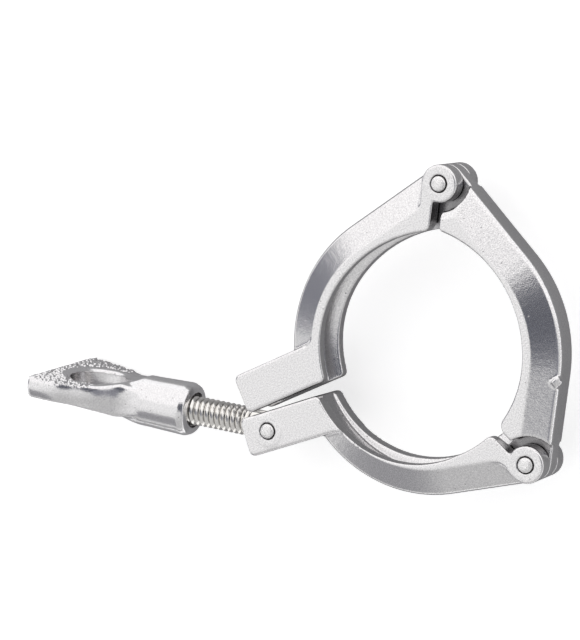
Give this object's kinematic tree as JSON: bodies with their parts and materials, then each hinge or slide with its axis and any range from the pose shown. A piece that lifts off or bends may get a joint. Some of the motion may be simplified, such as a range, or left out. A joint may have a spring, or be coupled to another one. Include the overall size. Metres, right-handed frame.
{
  "type": "sanitary hinged clamp",
  "caption": "Hinged three-segment pipe clamp with a V-groove for ferrule flanges, closed by a swing bolt and a wing nut.",
  "frame": {"origin": "centre of the clamping ring, on its axis and midway between its two faces", "axes": "+Z along the ring's axis, square to the clamp's flat faces; -X from the ring's centre out through the gap between the two fork ears; +Y towards the upper jaw; the clamp lies flat"},
  "size_m": [0.1177, 0.0661, 0.0275],
  "materials": {
    "upper_jaw": "fine-grained satin casting",
    "link": "fine-grained satin casting",
    "lower_jaw": "fine-grained satin casting",
    "upper_hinge_pin": "polished, peened ends",
    "lower_hinge_pin": "polished, peened ends",
    "bolt_pin": "polished, peened ends",
    "swing_bolt": "bright rolled thread",
    "wing_nut": "tumbled casting"
  },
  "bodies": {
    "link": {"link": "link"},
    "upper_jaw": {"upper_jaw": "upper_jaw", "upper_hinge_pin": "upper_hinge_pin"},
    "lower_jaw": {"lower_jaw": "lower_jaw", "lower_hinge_pin": "lower_hinge_pin", "bolt_pin": "bolt_pin"},
    "bolt": {"swing_bolt": "swing_bolt"},
    "nut": {"wing_nut": "wing_nut"}
  },
  "joints": [
    {"name": "upper_jaw_hinge", "type": "hinge", "parent": "link", "child": "upper_jaw", "pos_m": [0.01642, 0.03, 0], "axis": [0, 0, -1], "range_deg": [0, 110]},
    {"name": "lower_jaw_hinge", "type": "hinge", "parent": "link", "child": "lower_jaw", "pos_m": [0.01375, -0.02845, 0], "axis": [0, 0, 1], "range_deg": [0, 110]},
    {"name": "bolt_swing", "type": "hinge", "parent": "lower_jaw", "child": "bolt", "pos_m": [-0.0388, -0.0046, 0], "axis": [0, 0, 1], "range_deg": [-62, 118]},
    {"name": "nut_turn", "type": "hinge", "parent": "bolt", "child": "nut", "pos_m": [-0.0388, -0.0046, 0], "axis": [-0.8813, 0.4726, 0], "continuous": true}
  ]
}
